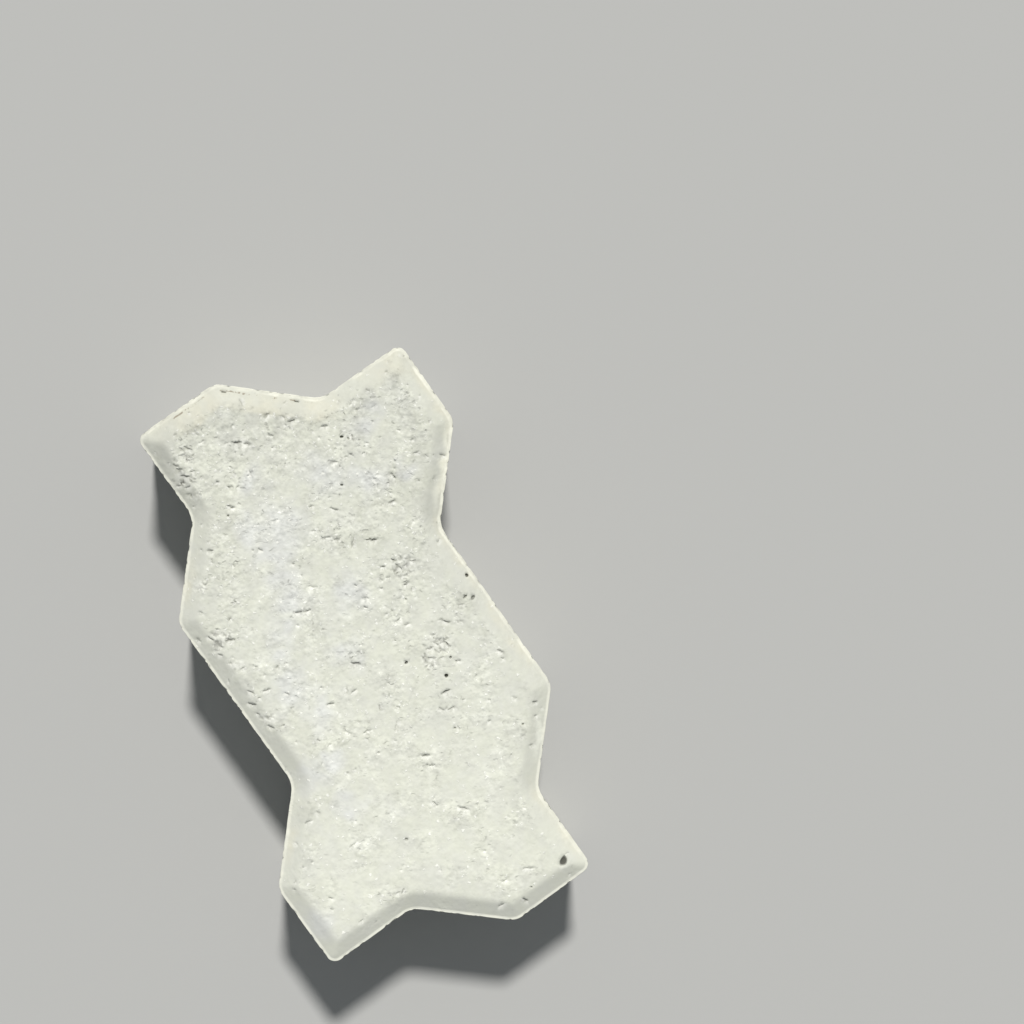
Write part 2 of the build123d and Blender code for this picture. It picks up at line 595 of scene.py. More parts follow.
def with_marks(points, marks, patches):
    """Swaps the lattice under each mark for the mark's own points, and under each patch for finer ones."""
    shapes = []
    for patch in patches:
        points = points[~patch.covers(points, 0)]
        finer = lattice(patch.place - patch.radius, patch.place + patch.radius, PATCH_SPACING)
        points = np.vstack([points, finer[patch.covers(finer, -PATCH_MARGIN)]])
    for mark in marks:
        points = points[~mark.covers(points, CLEARANCE)]
        shape = mark.net_points()
        shapes.append(shape - mark.BENT * bend_of(shape, BEND_SIZE, BEND_DISTANCE))
    return np.vstack([points, *shapes])


square = [(0, 0), (1, 0), (1, 1), (0, 1)]
print("A square with a point in it has", len(triangulate(square, [(0.5, 0.5)])[1]), "triangles")

# %% Lay out the net of the top
TOP_SPACING = 0.9
NET_INSET = 2.4
FREE_OF_BORDER = 0.3
MARK_FREE_OF_BORDER = 0.45
net_border = outline(NET_INSET)
coarse_border = outline(NET_INSET, MODULE)
corner = np.abs(net_border).max(axis=0)
grid = lattice(-corner, corner, TOP_SPACING)
grid = grid[distance_inside(grid, coarse_border) > TOP_SPACING / 2]
free = [m.place for m in marks]
needed = [MARK_FREE_OF_BORDER + m.size() / 2 for m in marks]
roomy = distance_inside(np.array(free), coarse_border) > needed
marks = [mark for mark, room in zip(marks, roomy) if room]
grid = with_marks(grid, marks, patches)
grid = grid[distance_inside(grid, coarse_border) > FREE_OF_BORDER]
top_points, top_faces = triangulate(net_border, grid)
print("The top has", len(marks), "marks,", len(top_points), "points and", len(top_faces), "triangles")

# %% The inset of every point of the top
# The offsets of a rounded outline are not at equal distances near its corners, so the inset of a point is
# read between the two nearest outlines. Further in than EDGE_BAND, it no longer matters.
EDGE_BAND = 20.0
LEAST_GAP = 1e-9
LADDER = np.array([NET_INSET - 0.2, 3.6, 4.6, 5.6, 6.6, 7.6, CHAMFER_HEAD, 9.7, 10.7, 15.0, EDGE_BAND])
rungs = [distance_inside(top_points, outline(inset, MODULE)) for inset in LADDER]
top_insets = np.full(len(top_points), LADDER[0])
for k in range(len(LADDER) - 1):
    within = rungs[k] > 0
    share = rungs[k] / np.maximum(rungs[k] - rungs[k + 1], LEAST_GAP)
    top_insets[within] = LADDER[k] + (LADDER[k + 1] - LADDER[k]) * np.clip(share[within], 0, 1)
print("Insets of the top run from", top_insets.min().round(2), "to", top_insets.max().round(2), "mm")

# %% [markdown]
# ## Relief
# Each point of the skin moves inwards along its own normal. The relief has three scales: a broad
# unevenness of a tenth of a millimetre, the lumpy sand that the press could not flatten, and the marks.
# The sides slid up the mould, so their relief is stretched upright and their voids are larger. Noise is
# read in space, not on the surface, so it runs round every corner without a seam.

# %% Lumps, and steps without a corner
ROUGHER = 0.8
FINER = 2.1
HOLLOWS = (0.55, 0.8)
HOLLOW_LUMPS = (5.0, 2)


def lumps(point, size, octaves=3):
    """Fractal noise, mostly from 0 to 1, whose largest lumps are size millimetres wide."""
    return 0.5 + 0.5 * noise.fractal(point / size, ROUGHER, FINER, octaves)


def blend(low, high, value):
    """0 below low, 1 above high, smooth between."""
    share = min(1, max(0, (value - low) / (high - low)))
    return share * share * (3 - 2 * share)


def layer(point, depth, size, octaves=3):
    """Depth of one layer of lumps."""
    return depth * lumps(point, size, octaves)


def open_part(point, depth):
    """Depth of the shallow hollows where the mortar did not fill the mould."""
    return blend(*HOLLOWS, lumps(point, *HOLLOW_LUMPS)) * depth


print("Halfway through a step, blend gives", blend(0, 1, 0.5))

# %% Relief of the top, the sides and the underside, in millimetres
# Each layer has its depth, the size of its largest lumps and its number of octaves
TOP_SWELL = (0.10, 34, 2)
TOP_UNEVEN = (0.05, 7, 2)
TOP_SAND = (0.20, 2.9, 2)
SAND_WHERE_CLOSED = 0.5
CHAMFER_SAND = 0.12
SANDY_BAND = (CHAMFER_HEAD - 1.0, CHAMFER_HEAD + 1.5)
SIDE_SWELL = (0.10, 30, 2)
SIDE_DRAG = (0.34, 2.4)
SIDE_SAND = (0.15, 2.6)
SIDE_HOLLOWS = 0.5
SIDE_HOLLOWS_FROM = Vector((7, 3, 11))
DRAWN_OUT = 0.08
BED_BOARD = (0.12, 4.0, 2)
BED_SAND = (0.2, 2.8)
BED_HOLLOWS = 0.6
BED_HOLLOWS_FROM = Vector((3, 9, 1))
BOARD_DRAWN_OUT = 0.1


def top_relief(point, inset):
    """Depth of the pressed sandy top; the chamfer is smoother."""
    sandy = CHAMFER_SAND + (1 - CHAMFER_SAND) * blend(*SANDY_BAND, inset)
    sand = layer(point, *TOP_SAND) * (SAND_WHERE_CLOSED + openness(point.x, point.y))
    return layer(point, *TOP_SWELL) + (layer(point, *TOP_UNEVEN) + sand) * sandy


def side_relief(point):
    """Depth of the sides, with upright drag marks between the grains."""
    drawn = Vector((point.x, point.y, point.z * DRAWN_OUT))
    grains = layer(drawn, *SIDE_DRAG) + layer(point, *SIDE_SAND)
    return layer(point, *SIDE_SWELL) + grains + open_part(point + SIDE_HOLLOWS_FROM, SIDE_HOLLOWS)


def bed_relief(point):
    """Depth of the underside, which copied the grain of the board that it was pressed on."""
    board = Vector((point.x * BOARD_DRAWN_OUT, point.y, 0))
    grains = layer(board, *BED_BOARD) + layer(point, *BED_SAND)
    return grains + open_part(point + BED_HOLLOWS_FROM, BED_HOLLOWS)


print("Relief of a point of the top:", round(top_relief(Vector((10, 10, 60)), 30), 3), "mm")

# %% Depth of the marks at any point
NEAR_MARK = 0.1


def read_marks(points, marks):
    """Depth that the marks take out, and how pale they leave the surface, from 0 to 1."""
    bent = points + bend_of(points, BEND_SIZE, BEND_DISTANCE)
    depth, pale = np.zeros(len(points)), np.zeros(len(points))
    for mark in marks:
        where = bent if mark.BENT else points
        near = np.nonzero(mark.covers(where, NEAR_MARK))[0]
        if len(near):
            depth[near] = np.maximum(depth[near], mark.depth_at(where[near]))
            pale[near] = np.maximum(pale[near], mark.pale_at(where[near]))
    return depth, pale


pore = marks[0]
print("The largest pore is", read_marks(pore.place[None], marks)[0][0].round(2), "mm deep in its middle")

# %% [markdown]
# ## One closed skin
# The underside, the sides, the land and the top share the points of their common borders, so the skin is
# closed, as a solid's must be. With each point we keep its normal and its inset from the laying grid.

# %% Gather the points of the skin
places = []
normals = []
insets = []
faces = []
looks = []
WEARING, CHAMFER, SIDES, BED = range(4)


def add_point(place, normal, inset):
    """Adds one point and returns its number."""
    places.append(Vector(place))
    normals.append(Vector(normal))
    insets.append(float(inset))
    return len(places) - 1


def outward_normals(line):
    """Unit normals of a closed line, pointing out."""
    ahead = np.roll(line, -1, axis=0) - np.roll(line, 1, axis=0)
    outward = np.stack([ahead[:, 1], -ahead[:, 0]], 1)
    return outward / np.hypot(*outward.T)[:, None]


def add_row(inset, height, upright):
    """A closed row of points; upright is how far its normals point up, from -1 to 1."""
    line = outline(inset)
    flat = math.sqrt(1 - upright**2)
    pairs = zip(line, outward_normals(line))
    return [add_point((*p, height), (*(n * flat), upright), inset) for p, n in pairs]


def join_rows(lower, upper, look):
    """Quads between two rows; upper lies above lower, or further in."""
    count = len(lower)
    for k in range(count):
        after = (k + 1) % count
        faces.append((lower[k], lower[after], upper[after], upper[k]))
        looks.append(look)


def add_triangles(index, triangles, look_of):
    """Adds triangles whose corners are looked up in an index."""
    for triangle in triangles:
        corners = tuple(index[k] for k in triangle)
        if len(set(corners)) == 3:
            faces.append(corners)
            looks.append(look_of(corners))


print("The skin has", BED + 1, "kinds of surface")

# %% A void between grains
LEAST_VOID = 0.8
MORE_VOID = 0.7
WIDEST_VOID = 4.5
DEEPEST_VOID = 1.4
# Least and most: the height by the width, the depth by the height, and the heading in degrees
VOID_HEIGHTS = (0.4, 1.0)
VOID_DEPTHS = (0.3, 0.7)
VOID_HEADINGS = (-40, 40)


def open_void(x, y):
    """A void between grains, as the sides and the underside have: most are small, a few wide and deep."""
    wide = min(WIDEST_VOID, LEAST_VOID + rng.exponential(MORE_VOID))
    tall = wide * rng.uniform(*VOID_HEIGHTS)
    depth = min(DEEPEST_VOID, tall * rng.uniform(*VOID_DEPTHS))
    return Pore(x, y, wide, tall, rng.uniform(*VOID_HEADINGS), depth, rng.uniform(*PORE_SEEDS))


print("Voids are from", LEAST_VOID, "to", WIDEST_VOID, "mm wide")

# %% Underside and its border
FOOT_ROUND = 0.5
FOOT_TUCK = 0.3
FOOT_INSET = SIDE + FOOT_TUCK
FOOT_UPRIGHT = -0.9
BED_SPACING = 2.3
BED_PORES = 70
BED_POINT_INSET = 30
bed_row = add_row(FOOT_INSET, 0.0, FOOT_UPRIGHT)
bed_border = outline(FOOT_INSET)
bed_grid = lattice(bed_border.min(axis=0), bed_border.max(axis=0), BED_SPACING)
bed_marks = []
for _ in range(BED_PORES):
    mark = open_void(*rng.uniform(bed_border.min(axis=0), bed_border.max(axis=0)))
    if clear_of(mark, bed_marks):
        bed_marks.append(mark)
bed_grid = with_marks(bed_grid, bed_marks, [])
bed_grid = bed_grid[distance_inside(bed_grid, outline(FOOT_INSET, MODULE)) > BED_SPACING / 2]
bed_points, bed_faces = triangulate(bed_border, bed_grid)
first_bed = len(places)
free_bed = bed_points[len(bed_row):]
bed_index = bed_row + [add_point((*p, 0.0), (0, 0, -1), BED_POINT_INSET) for p in free_bed]
bed_depth = dict(zip(range(first_bed, len(places)), read_marks(free_bed, bed_marks)[0]))
add_triangles(bed_index, [face[::-1] for face in bed_faces], lambda corners: BED)
print("The underside has", len(bed_faces), "triangles")

# %% [markdown]
# ## The sides, unrolled
# The side is one band, about 70 cm long. We unroll it into a flat strip, scatter voids on it, triangulate
# it as we did the top, and wrap it round again. The strip's two ends share their points.

# %% Voids of the sides
SIDE_SPACING = 1.35
SIDE_PORES = 420
SEAM_MARGIN = 3.0
MORE_OPEN = 0.2
side_top = LAND_HEIGHT - LIP_EASE
foot_row = add_row(SIDE, FOOT_ROUND, 0.0)
join_rows(bed_row, foot_row, SIDES)
brow_row = add_row(SIDE, side_top, 0.0)
steps = np.hypot(*(np.roll(rim, -1, axis=0) - rim).T)
around = np.concatenate([[0], np.cumsum(steps)])
length = around[-1]
side_marks = []
for _ in range(SIDE_PORES):
    along = rng.uniform(SEAM_MARGIN, length - SEAM_MARGIN)
    mark = open_void(along, rng.uniform(SEAM_MARGIN, side_top - SEAM_MARGIN))
    if rng.random() < openness(*mark.place, 0) + MORE_OPEN and clear_of(mark, side_marks, CLOSEST):
        side_marks.append(mark)
print("The band is", round(float(length), 1), "mm long and gets", len(side_marks), "voids")

# %% Net of the sides
seam = np.linspace(FOOT_ROUND, side_top, round((side_top - FOOT_ROUND) / SIDE_SPACING) + 1)
count = len(rim)
bottom = np.stack([around, np.full(count + 1, FOOT_ROUND)], 1)
top = np.stack([around, np.full(count + 1, side_top)], 1)[::-1]
right = np.stack([np.full(len(seam) - 2, length), seam[1:-1]], 1)
left = np.stack([np.zeros(len(seam) - 2), seam[1:-1]], 1)[::-1]
band = np.vstack([bottom, right, top, left])
band_grid = lattice((0, FOOT_ROUND), (length, side_top), SIDE_SPACING)
margin = SIDE_SPACING / 2
within = (band_grid > [margin, FOOT_ROUND + margin]) & (band_grid < [length - margin, side_top - margin])
band_grid = with_marks(band_grid[within.all(axis=1)], side_marks, [])
band_points, band_faces = triangulate(band, band_grid)
print("The band has", len(band_faces), "triangles")

# %% Wrap the band round the stone
rim_normals = outward_normals(rim)


def on_side(along, height):
    """Adds the point of the side at a distance along the band."""
    k = min(int(np.searchsorted(around, along, side="right")) - 1, count - 1)
    share = (along - around[k]) / steps[k]
    after = (k + 1) % count
    place = rim[k] * (1 - share) + rim[after] * share
    normal = rim_normals[k] * (1 - share) + rim_normals[after] * share
    return add_point((*place, height), (*(normal / np.hypot(*normal)), 0), SIDE)


seam_index = [on_side(0.0, height) for height in seam[1:-1]]
band_index = foot_row + foot_row[:1] + seam_index + brow_row[:1] + brow_row[::-1] + seam_index[::-1]
first_free = len(places)
free_band = band_points[len(band):]
band_index += [on_side(*point) for point in free_band]
add_triangles(band_index, band_faces, lambda corners: SIDES)
side_depth = dict(zip(range(first_free, len(places)), read_marks(free_band, side_marks)[0]))
print("Points so far:", len(places))

# %% Land and top
LAND_INSETS = [1.12, 1.3, 1.7, 2.2]
LIP_UPRIGHT = 0.5
row = brow_row
for inset in LAND_INSETS:
    above = add_row(inset, float(top_height(inset)), LIP_UPRIGHT if inset < LAND_INSETS[1] else 1.0)
    join_rows(row, above, CHAMFER)
    row = above
above = add_row(NET_INSET, float(top_height(NET_INSET)), 1.0)
join_rows(row, above, CHAMFER)
top_heights = top_height(top_insets)
free_points = zip(top_points[count:], top_heights[count:], top_insets[count:])
top_index = above + [add_point((*p, h), (0, 0, 1), inset) for p, h, inset in free_points]
add_triangles(top_index, top_faces,
              lambda corners: WEARING if insets[corners[0]] > CHAMFER_HEAD else CHAMFER)
print("The skin has", len(places), "points and", len(faces), "faces")

# %% Depth of the marks over the whole skin
SLANTS_UP = 0.3
SHADED_FROM = 0.1
SHADED_OVER = 0.9
DEEP_OVER = 0.3
DEEP_SHARE = 0.22
plan_places = np.array([p[:2] for p in places])
upward = np.array([n.z > SLANTS_UP for n in normals])
mark_depth = np.zeros(len(places))
pale = np.zeros(len(places))
mark_depth[upward], pale[upward] = read_marks(plan_places[upward], marks + patches)
for found in (side_depth, bed_depth):
    mark_depth[list(found)] = list(found.values())
# How much painted shade each mark gets: more the deeper it is, and the deepest pores nearly black
hollow = np.clip((mark_depth - SHADED_FROM) / SHADED_OVER, 0, 1) * (1 - DEEP_SHARE)
hollow += np.clip((mark_depth - SHADED_OVER) / DEEP_OVER, 0, 1) * DEEP_SHARE
print("The deepest mark is", round(float(mark_depth.max()), 2), "mm deep")

# %% Press the relief in
FACES_UP = 0.9
FACES_DOWN = -0.95
BED_SHARE = 0.7
ARRIS_SAND = (0.1, 2.6)
FOOT_DEPTH = 0.1
CALM_SHARE = 0.1
CALM_EDGE = 5
# The chips: their depth, the inset that they stay outside of, and the heights below the land that they span
RAGGED = 0.45
RAGGED_INSET = 1.6
RAGGED_BELOW = (4, 1)
CHIPS = (0.5, 0.85)
CHIP_SIZE = 1.9


def relief(place, normal, inset):
    """Depth of the relief on whichever surface a point belongs to."""
    if normal.z > FACES_UP:
        return top_relief(place, inset)
    if normal.z > SLANTS_UP:
        return layer(place, *ARRIS_SAND)
    if normal.z < FACES_DOWN:
        return bed_relief(place) * BED_SHARE
    if normal.z < -SLANTS_UP:
        return FOOT_DEPTH
    off_edge = min(place.z, LAND_HEIGHT - place.z)
    return side_relief(place) * (CALM_SHARE + (1 - CALM_SHARE) * blend(0, CALM_EDGE, off_edge))


def raggedness(place, inset):
    """Depth of the small chips along the outer edge of the land."""
    start, end = (LAND_HEIGHT - below for below in RAGGED_BELOW)
    if inset >= RAGGED_INSET or place.z <= start:
        return 0
    return RAGGED * blend(*CHIPS, lumps(place, CHIP_SIZE)) * blend(start, end, place.z)


moved = []
for place, normal, inset, mark in zip(places, normals, insets, mark_depth):
    moved.append(place - normal * (relief(place, normal, inset) + raggedness(place, inset) + mark))
print("The farthest any point moved is", round(max((a - b).length for a, b in zip(moved, places)), 2), "mm")

# %% [markdown]
# ## Stains, painted light and painted shade
# The concrete is not one colour. Lime left cool clouds on one half, and the stone is a little paler at one
# end. Along the edges it turns cream, partly from fine sand and partly from painted warm light on the edges
# that face the lamp, and painted shade darkens a stretch of chamfer that faces away from it. We list these
# and keep them with each point as numbers, which the materials turn into colour.

# %% Stains, painted light and painted shade, each with its place and radius in millimetres
COOL_CLOUDS = [
    (-59, -14, 12), (-62, -25, 7), (-49, -20, 9), (-40, -20, 8), (-31, -20, 7), (-22, -26, 7), (-12, -31, 7),
    (-25, 2, 9), (-72, 8, 9), (-66, 24, 8), (-84, 31, 6), (-92, 37, 5), (-63, 40, 4), (-80, -18, 6),
    (-4, -8, 7), (1, -33, 10), (16, -25, 7), (38, -37, 7), (34, -27, 5), (54, -28, 6), (93, -54, 8),
]
# Cream edges: fine sand, and painted warm light where the edges face the lamp
CREAM_BLOOM_AND_LIGHT = [
    (-117, -44, 9), (-109, -27, 14), (-103, -6, 13), (-98, 16, 9), (-112, 48, 14),
]
# More cream near the chamfer's foot: sand, and painted warm light, mostly on the sides that face the lamp
CREAM_RIM = [
    (-94, 60, 12), (-76, 60, 14), (-58, 56, 14), (-38, 46, 9), (-20, 48, 12), (2, 53, 10), (20, 60, 9),
    (-50, -54, 9), (60, -51, 9), (94, 53, 13), (78, 48, 8),
]
PALE_PATCHES = [
    (-61, -20, 6), (-61, 43, 4), (12, 23, 4), (16, -24, 8), (97, -32, 7), (63, 28, 6), (-92, 59, 13),
    (95, 55, 9), (-93, -42, 6),
]
FOOT_SAND = [(-56, 54, 14), (-68, 60, 8), (56, 55, 9)]
FOOT_DIRT = [(-118, -22, 8), (-114, -12, 9), (-109, -2, 9), (-104, 8, 7), (-116, -36, 8)]
# Painted shade on a stretch of chamfer that faces away from the lamp
SHADED_CHAMFER = [(-96, -48, 13), (-86, -46, 9)]
DARK_PATCHES = [
    (-106, -28, 8), (-103, -12, 7), (-108, -42, 9), (-106, -35, 8), (-60, 43, 8), (-50, 40, 8),
    (-97, -19, 8), (-100, 3, 7), (-106, -38, 7), (-42, 18, 6), (-28, 25, 8), (-7, 46, 6), (-1, 33, 6),
    (11, 23, 6), (30, 20, 6), (-95, 36, 6), (-60, 33, 6), (50, -45, 6), (74, -11, 5),
]
print("Placed by hand:", len(COOL_CLOUDS), "cool clouds and", len(PALE_PATCHES + DARK_PATCHES), "patches")

# %% Where the clouds lie, and the cream edges of sand and painted light
STAIN_END = 1.3
SWAY_LEVEL, SWAY_SIZE, SWAY = 3.0, 6, 5
EDGE_SWAY = 2
BLOOM_AND_LIGHT_BAND = (12.0, 10.5)
RIM_BAND = (6.0, 3.5)
MOTTLE_LEVEL, MOTTLE_SIZE, MOTTLE = 8.0, 4.0, 0.9
MOTTLE_MEAN = 0.85
LEAST_BLOOM_AND_LIGHT = 0.4


def stain(points, places):
    """How strongly each point is stained, from 0 to 1: a stain fades out a little beyond its radius."""
    strength = np.zeros(len(points))
    for x, y, radius in places:
        reach = np.hypot(*(points - [x, y]).T) / radius
        strength = np.maximum(strength, np.clip(STAIN_END - reach, 0, 1))
    return strength


def rise(values, start, end):
    """0 at start, 1 at end and even between, for many values at once."""
    return np.clip((np.array(values) - start) / (end - start), 0, 1)


sway = np.array([noise.noise_vector(Vector((*p, SWAY_LEVEL)) / SWAY_SIZE)[:2] for p in plan_places])
swayed = plan_places + sway * SWAY
edge_distance = np.array(insets) - sway[:, 0] * EDGE_SWAY
foot_dirt = stain(plan_places, FOOT_DIRT)
cool = stain(swayed, COOL_CLOUDS)
bloom_and_light = stain(swayed, CREAM_BLOOM_AND_LIGHT) * rise(edge_distance, *BLOOM_AND_LIGHT_BAND)
bloom_and_light = np.maximum(bloom_and_light, stain(swayed, CREAM_RIM) * rise(edge_distance, *RIM_BAND))
mottle = np.array([noise.noise(Vector((*p, MOTTLE_LEVEL)) / MOTTLE_SIZE) for p in plan_places])
bloom_and_light *= np.clip(MOTTLE_MEAN + MOTTLE * mottle, LEAST_BLOOM_AND_LIGHT, 1)
print("Points with bloom:", (bloom_and_light > 0).sum(), "and in cool clouds:", (cool > 0).sum())

# %% How pale or dark each point is
PALER_PER_MM = 0.00049
DARKER_PER_MM_ACROSS = 0.00023
PATCH_PALER = 0.05
PATCH_DARKER = 0.06
EDGE_DARKER = 0.055
CHAMFER_DARKER = 0.02
SHADED_DARKER = 0.10
CHAMFER_BAND = (CHAMFER_HEAD + 0.4, CHAMFER_HEAD - 0.4)
SAND_PALER = 0.24
SAND_FROM = (2.4, 2.9)
SAND_UP_TO = (5.8, 4.0)
tone = 1 + PALER_PER_MM * plan_places[:, 0] - DARKER_PER_MM_ACROSS * plan_places[:, 1]
tone += PATCH_PALER * stain(swayed, PALE_PATCHES) - PATCH_DARKER * stain(swayed, DARK_PATCHES)
tone -= EDGE_DARKER * rise(insets, EDGE_BAND, CHAMFER_HEAD)
# Painted shade makes that stretch of chamfer darker still
shaded_part = SHADED_DARKER * stain(plan_places, SHADED_CHAMFER)
tone -= (CHAMFER_DARKER + shaded_part) * rise(insets, *CHAMFER_BAND)
at_foot = rise(edge_distance, *SAND_FROM) * rise(edge_distance, *SAND_UP_TO)
tone += SAND_PALER * stain(plan_places, FOOT_SAND) * at_foot
openings = np.array([openness(*p) for p in plan_places])
print("The tone of the concrete runs from", tone.min().round(3), "to", tone.max().round(3))

# %% Make the mesh and the object
mesh = bpy.data.meshes.new("paving_stone_skin")
mesh.from_pydata([p * MM for p in moved], [], faces)
mesh.polygons.foreach_set("material_index", looks)
mesh.polygons.foreach_set("use_smooth", [True] * len(faces))
kept = {"hollow": hollow, "pale": pale, "inset": insets, "cool": cool, "bloom_and_light": bloom_and_light, "tone": tone,
        "open": openings, "foot_dirt": foot_dirt}
for name, values in kept.items():
    mesh.attributes.new(name, "FLOAT", "POINT").data.foreach_set("value", values)
mesh.validate()
mesh.update()
stone = bpy.data.objects.new("stone_skin", mesh)
bpy.context.scene.collection.objects.link(stone)
print("Kept with each point:", ", ".join(kept))

# %% Check that the skin is closed
check = bmesh.new()
check.from_mesh(mesh)
open_edges = sum(not edge.is_manifold for edge in check.edges)
print("Open or doubled edges:", open_edges, "and volume:", round(check.calc_volume() * 1e6, 1), "cm3")
print("Triangles:", sum(len(face.verts) - 2 for face in check.faces))
check.free()

# %% [markdown]
# ## Node helpers
# Every finish is built from the same few nodes, so we write them once: one helper adds a node and plugs
# its inputs, and one opens a named group with its inputs and outputs. Other helpers follow where they are
# first needed.

# %% Add a node, open a group
def add(tree, kind, inputs=(), **settings):
    """Adds a node, sets its properties, and fills its inputs with values or links."""
    node = tree.nodes.new(kind)
    for name, value in settings.items():
        setattr(node, name, value)
    for socket, value in dict(inputs).items():
        if isinstance(value, bpy.types.NodeSocket):
            tree.links.new(value, node.inputs[socket])
        else:
            node.inputs[socket].default_value = value
    return node


def new_group(name, inputs, outputs):
    """An empty node group with named sockets; returns the tree, its inputs and its outputs."""
    tree = bpy.data.node_groups.new(name, "ShaderNodeTree")
    for socket, (kind, value) in inputs.items():
        made = tree.interface.new_socket(socket, in_out="INPUT", socket_type="NodeSocket" + kind)
        if value is not None:
            made.default_value = value
    for socket in outputs:
        tree.interface.new_socket(socket, in_out="OUTPUT", socket_type="NodeSocketFloat")
    return tree, tree.nodes.new("NodeGroupInput").outputs, tree.nodes.new("NodeGroupOutput").inputs


print("Groups so far:", len(bpy.data.node_groups))

# %% [markdown]
# ## Noise as a texture
# Most effects start from a noise texture. Where its bumps would look too regular, we read it with a vector
# that another noise has pushed about.

# %% A noise texture, and a vector that noise pushes about
NOISE_MIDDLE = 0.5


def cloud_noise(tree, vector, scale, detail=2.0, roughness=0.5):
    """A noise texture node."""
    inputs = {"Vector": vector, "Scale": scale, "Detail": detail, "Roughness": roughness}
    return add(tree, "ShaderNodeTexNoise", inputs).outputs


def vector_maths(tree, operation, first, second):
    """The result of one sum of vectors; to scale one, the second is a number."""
    inputs = {0: first, 3 if operation == "SCALE" else 1: second}
    return add(tree, "ShaderNodeVectorMath", inputs, operation=operation).outputs[0]


def shifted(tree, vector, scale, distance):
    """A vector pushed about by noise, so that what is drawn with it loses its regular edges."""
    push = cloud_noise(tree, vector, scale)["Color"]
    centred = vector_maths(tree, "SUBTRACT", push, (NOISE_MIDDLE, NOISE_MIDDLE, NOISE_MIDDLE))
    return vector_maths(tree, "ADD", vector, vector_maths(tree, "SCALE", centred, distance))


print("A noise texture lies about", NOISE_MIDDLE)

# %% [markdown]
# ## Sand grain
# Pressed concrete shows the sand that it is made of. The grains are half a millimetre to two millimetres
# across, each with its own tone and a little proud of the cement between them. Two noises of different
# size give the height, because a cell texture alone would look like a mosaic.

# %% Group: sand grain
TONES_PER_METRE = 520.0
TONE_SHIFT = (600.0, 0.001)
tree, given, result = new_group(
    "Sand grain",
    {"Vector": ("Vector", None), "Coarse per metre": ("Float", 430.0), "Fine per metre": ("Float", 900.0),
     "Fine share": ("Float", 0.16)},
    ["Tone", "Height"],
)
bent = shifted(tree, given["Vector"], *TONE_SHIFT)
coarse = cloud_noise(tree, given["Vector"], given["Coarse per metre"], detail=1.0)["Fac"]
fine = cloud_noise(tree, given["Vector"], given["Fine per metre"], roughness=0.6)["Fac"]
grain_tone = cloud_noise(tree, bent, TONES_PER_METRE, roughness=0.6)["Fac"]
height = add(tree, "ShaderNodeMix", {0: given["Fine share"], 2: coarse, 3: fine}).outputs[0]
tree.links.new(height, result["Height"])
tree.links.new(grain_tone, result["Tone"])
sand_grain = tree
print(sand_grain.name, "gives", list(result.keys())[:-1])

# %% [markdown]
# ## Specks
# A few grains stand out: pale quartz that the press polished. A cell texture gives each cell a random
# colour. One part of it chooses the cells that get a blob, and another sets the size of the blob. The
# cells are shifted by noise first, so that no blob is round.

# %% Group: specks
def maths(tree, operation, first, second=0.0, third=0.0):
    """The result of one sum."""
    return add(tree, "ShaderNodeMath", {0: first, 1: second, 2: third}, operation=operation).outputs[0]


def ramp(tree, value, start, end):
    """Takes a value from 0 at start to 1 at end, smoothly."""
    inputs = {"Value": value, "From Min": start, "From Max": end}
    return add(tree, "ShaderNodeMapRange", inputs, interpolation_type="SMOOTHSTEP").outputs[0]


SPECK_SHIFT = (900.0, 0.0022)
LEAST_SPECK = 0.6
MORE_SPECK = 0.6
SPECK_CORE = 0.35
tree, given, result = new_group(
    "Specks",
    {"Vector": ("Vector", None), "Cells per metre": ("Float", 400.0), "Share": ("Float", 0.2),
     "Size": ("Float", 0.3)},
    ["Mask"],
)
bent = shifted(tree, given["Vector"], *SPECK_SHIFT)
cells = add(tree, "ShaderNodeTexVoronoi", {"Vector": bent, "Scale": given["Cells per metre"]}).outputs
chance = add(tree, "ShaderNodeSeparateColor", {0: cells["Color"]}).outputs
chosen = maths(tree, "LESS_THAN", chance[1], given["Share"])
share = maths(tree, "MULTIPLY_ADD", chance[0], MORE_SPECK, LEAST_SPECK)
speck = maths(tree, "MULTIPLY", given["Size"], share)
blob = ramp(tree, cells["Distance"], speck, maths(tree, "MULTIPLY", speck, SPECK_CORE))
tree.links.new(maths(tree, "MULTIPLY", blob, chosen), result["Mask"])
specks = tree
print(specks.name, "has", len(specks.nodes), "nodes")

# %% [markdown]
# ## Pits
# Smaller than the tears that we modelled, and far more of them, are the pits between sand grains. Where
# a noise rises above a limit there is a pit, so its outline is as uneven as the noise. The mask serves as
# depth, which gives each pit a dark edge and a pale one, and a little as shade.

# %% Group: pits
def stretched(tree, given):
    """A group's vector, turned about Z and then stretched, as the group's inputs say."""
    axis = {"Vector": given["Vector"], "Angle": given["Turn"]}
    turned = add(tree, "ShaderNodeVectorRotate", axis, rotation_type="Z_AXIS").outputs[0]
    return vector_maths(tree, "MULTIPLY", turned, given["Stretch"])


tree, given, result = new_group(
    "Pits",
    {"Vector": ("Vector", None), "Pits per metre": ("Float", 480.0), "Limit": ("Float", 0.62),
     "Softness": ("Float", 0.14), "Stretch": ("Vector", (1.0, 1.0, 1.0)), "Turn": ("Float", 0.0)},
    ["Mask"],
)
field = cloud_noise(tree, stretched(tree, given), given["Pits per metre"])["Fac"]
bottom = maths(tree, "ADD", given["Limit"], given["Softness"])
tree.links.new(ramp(tree, field, given["Limit"], bottom), result["Mask"])
pits = tree
print(pits.name, "has", len(pits.nodes), "nodes")

# %% [markdown]
# ## Broken strokes
# Between the larger tears lie countless short dark cracks, where the surface opened as the press head
# left it. Where a noise passes through its middle value it draws long thin lines; a second noise breaks
# them into strokes. Stretching the vector makes most of them lie one way.

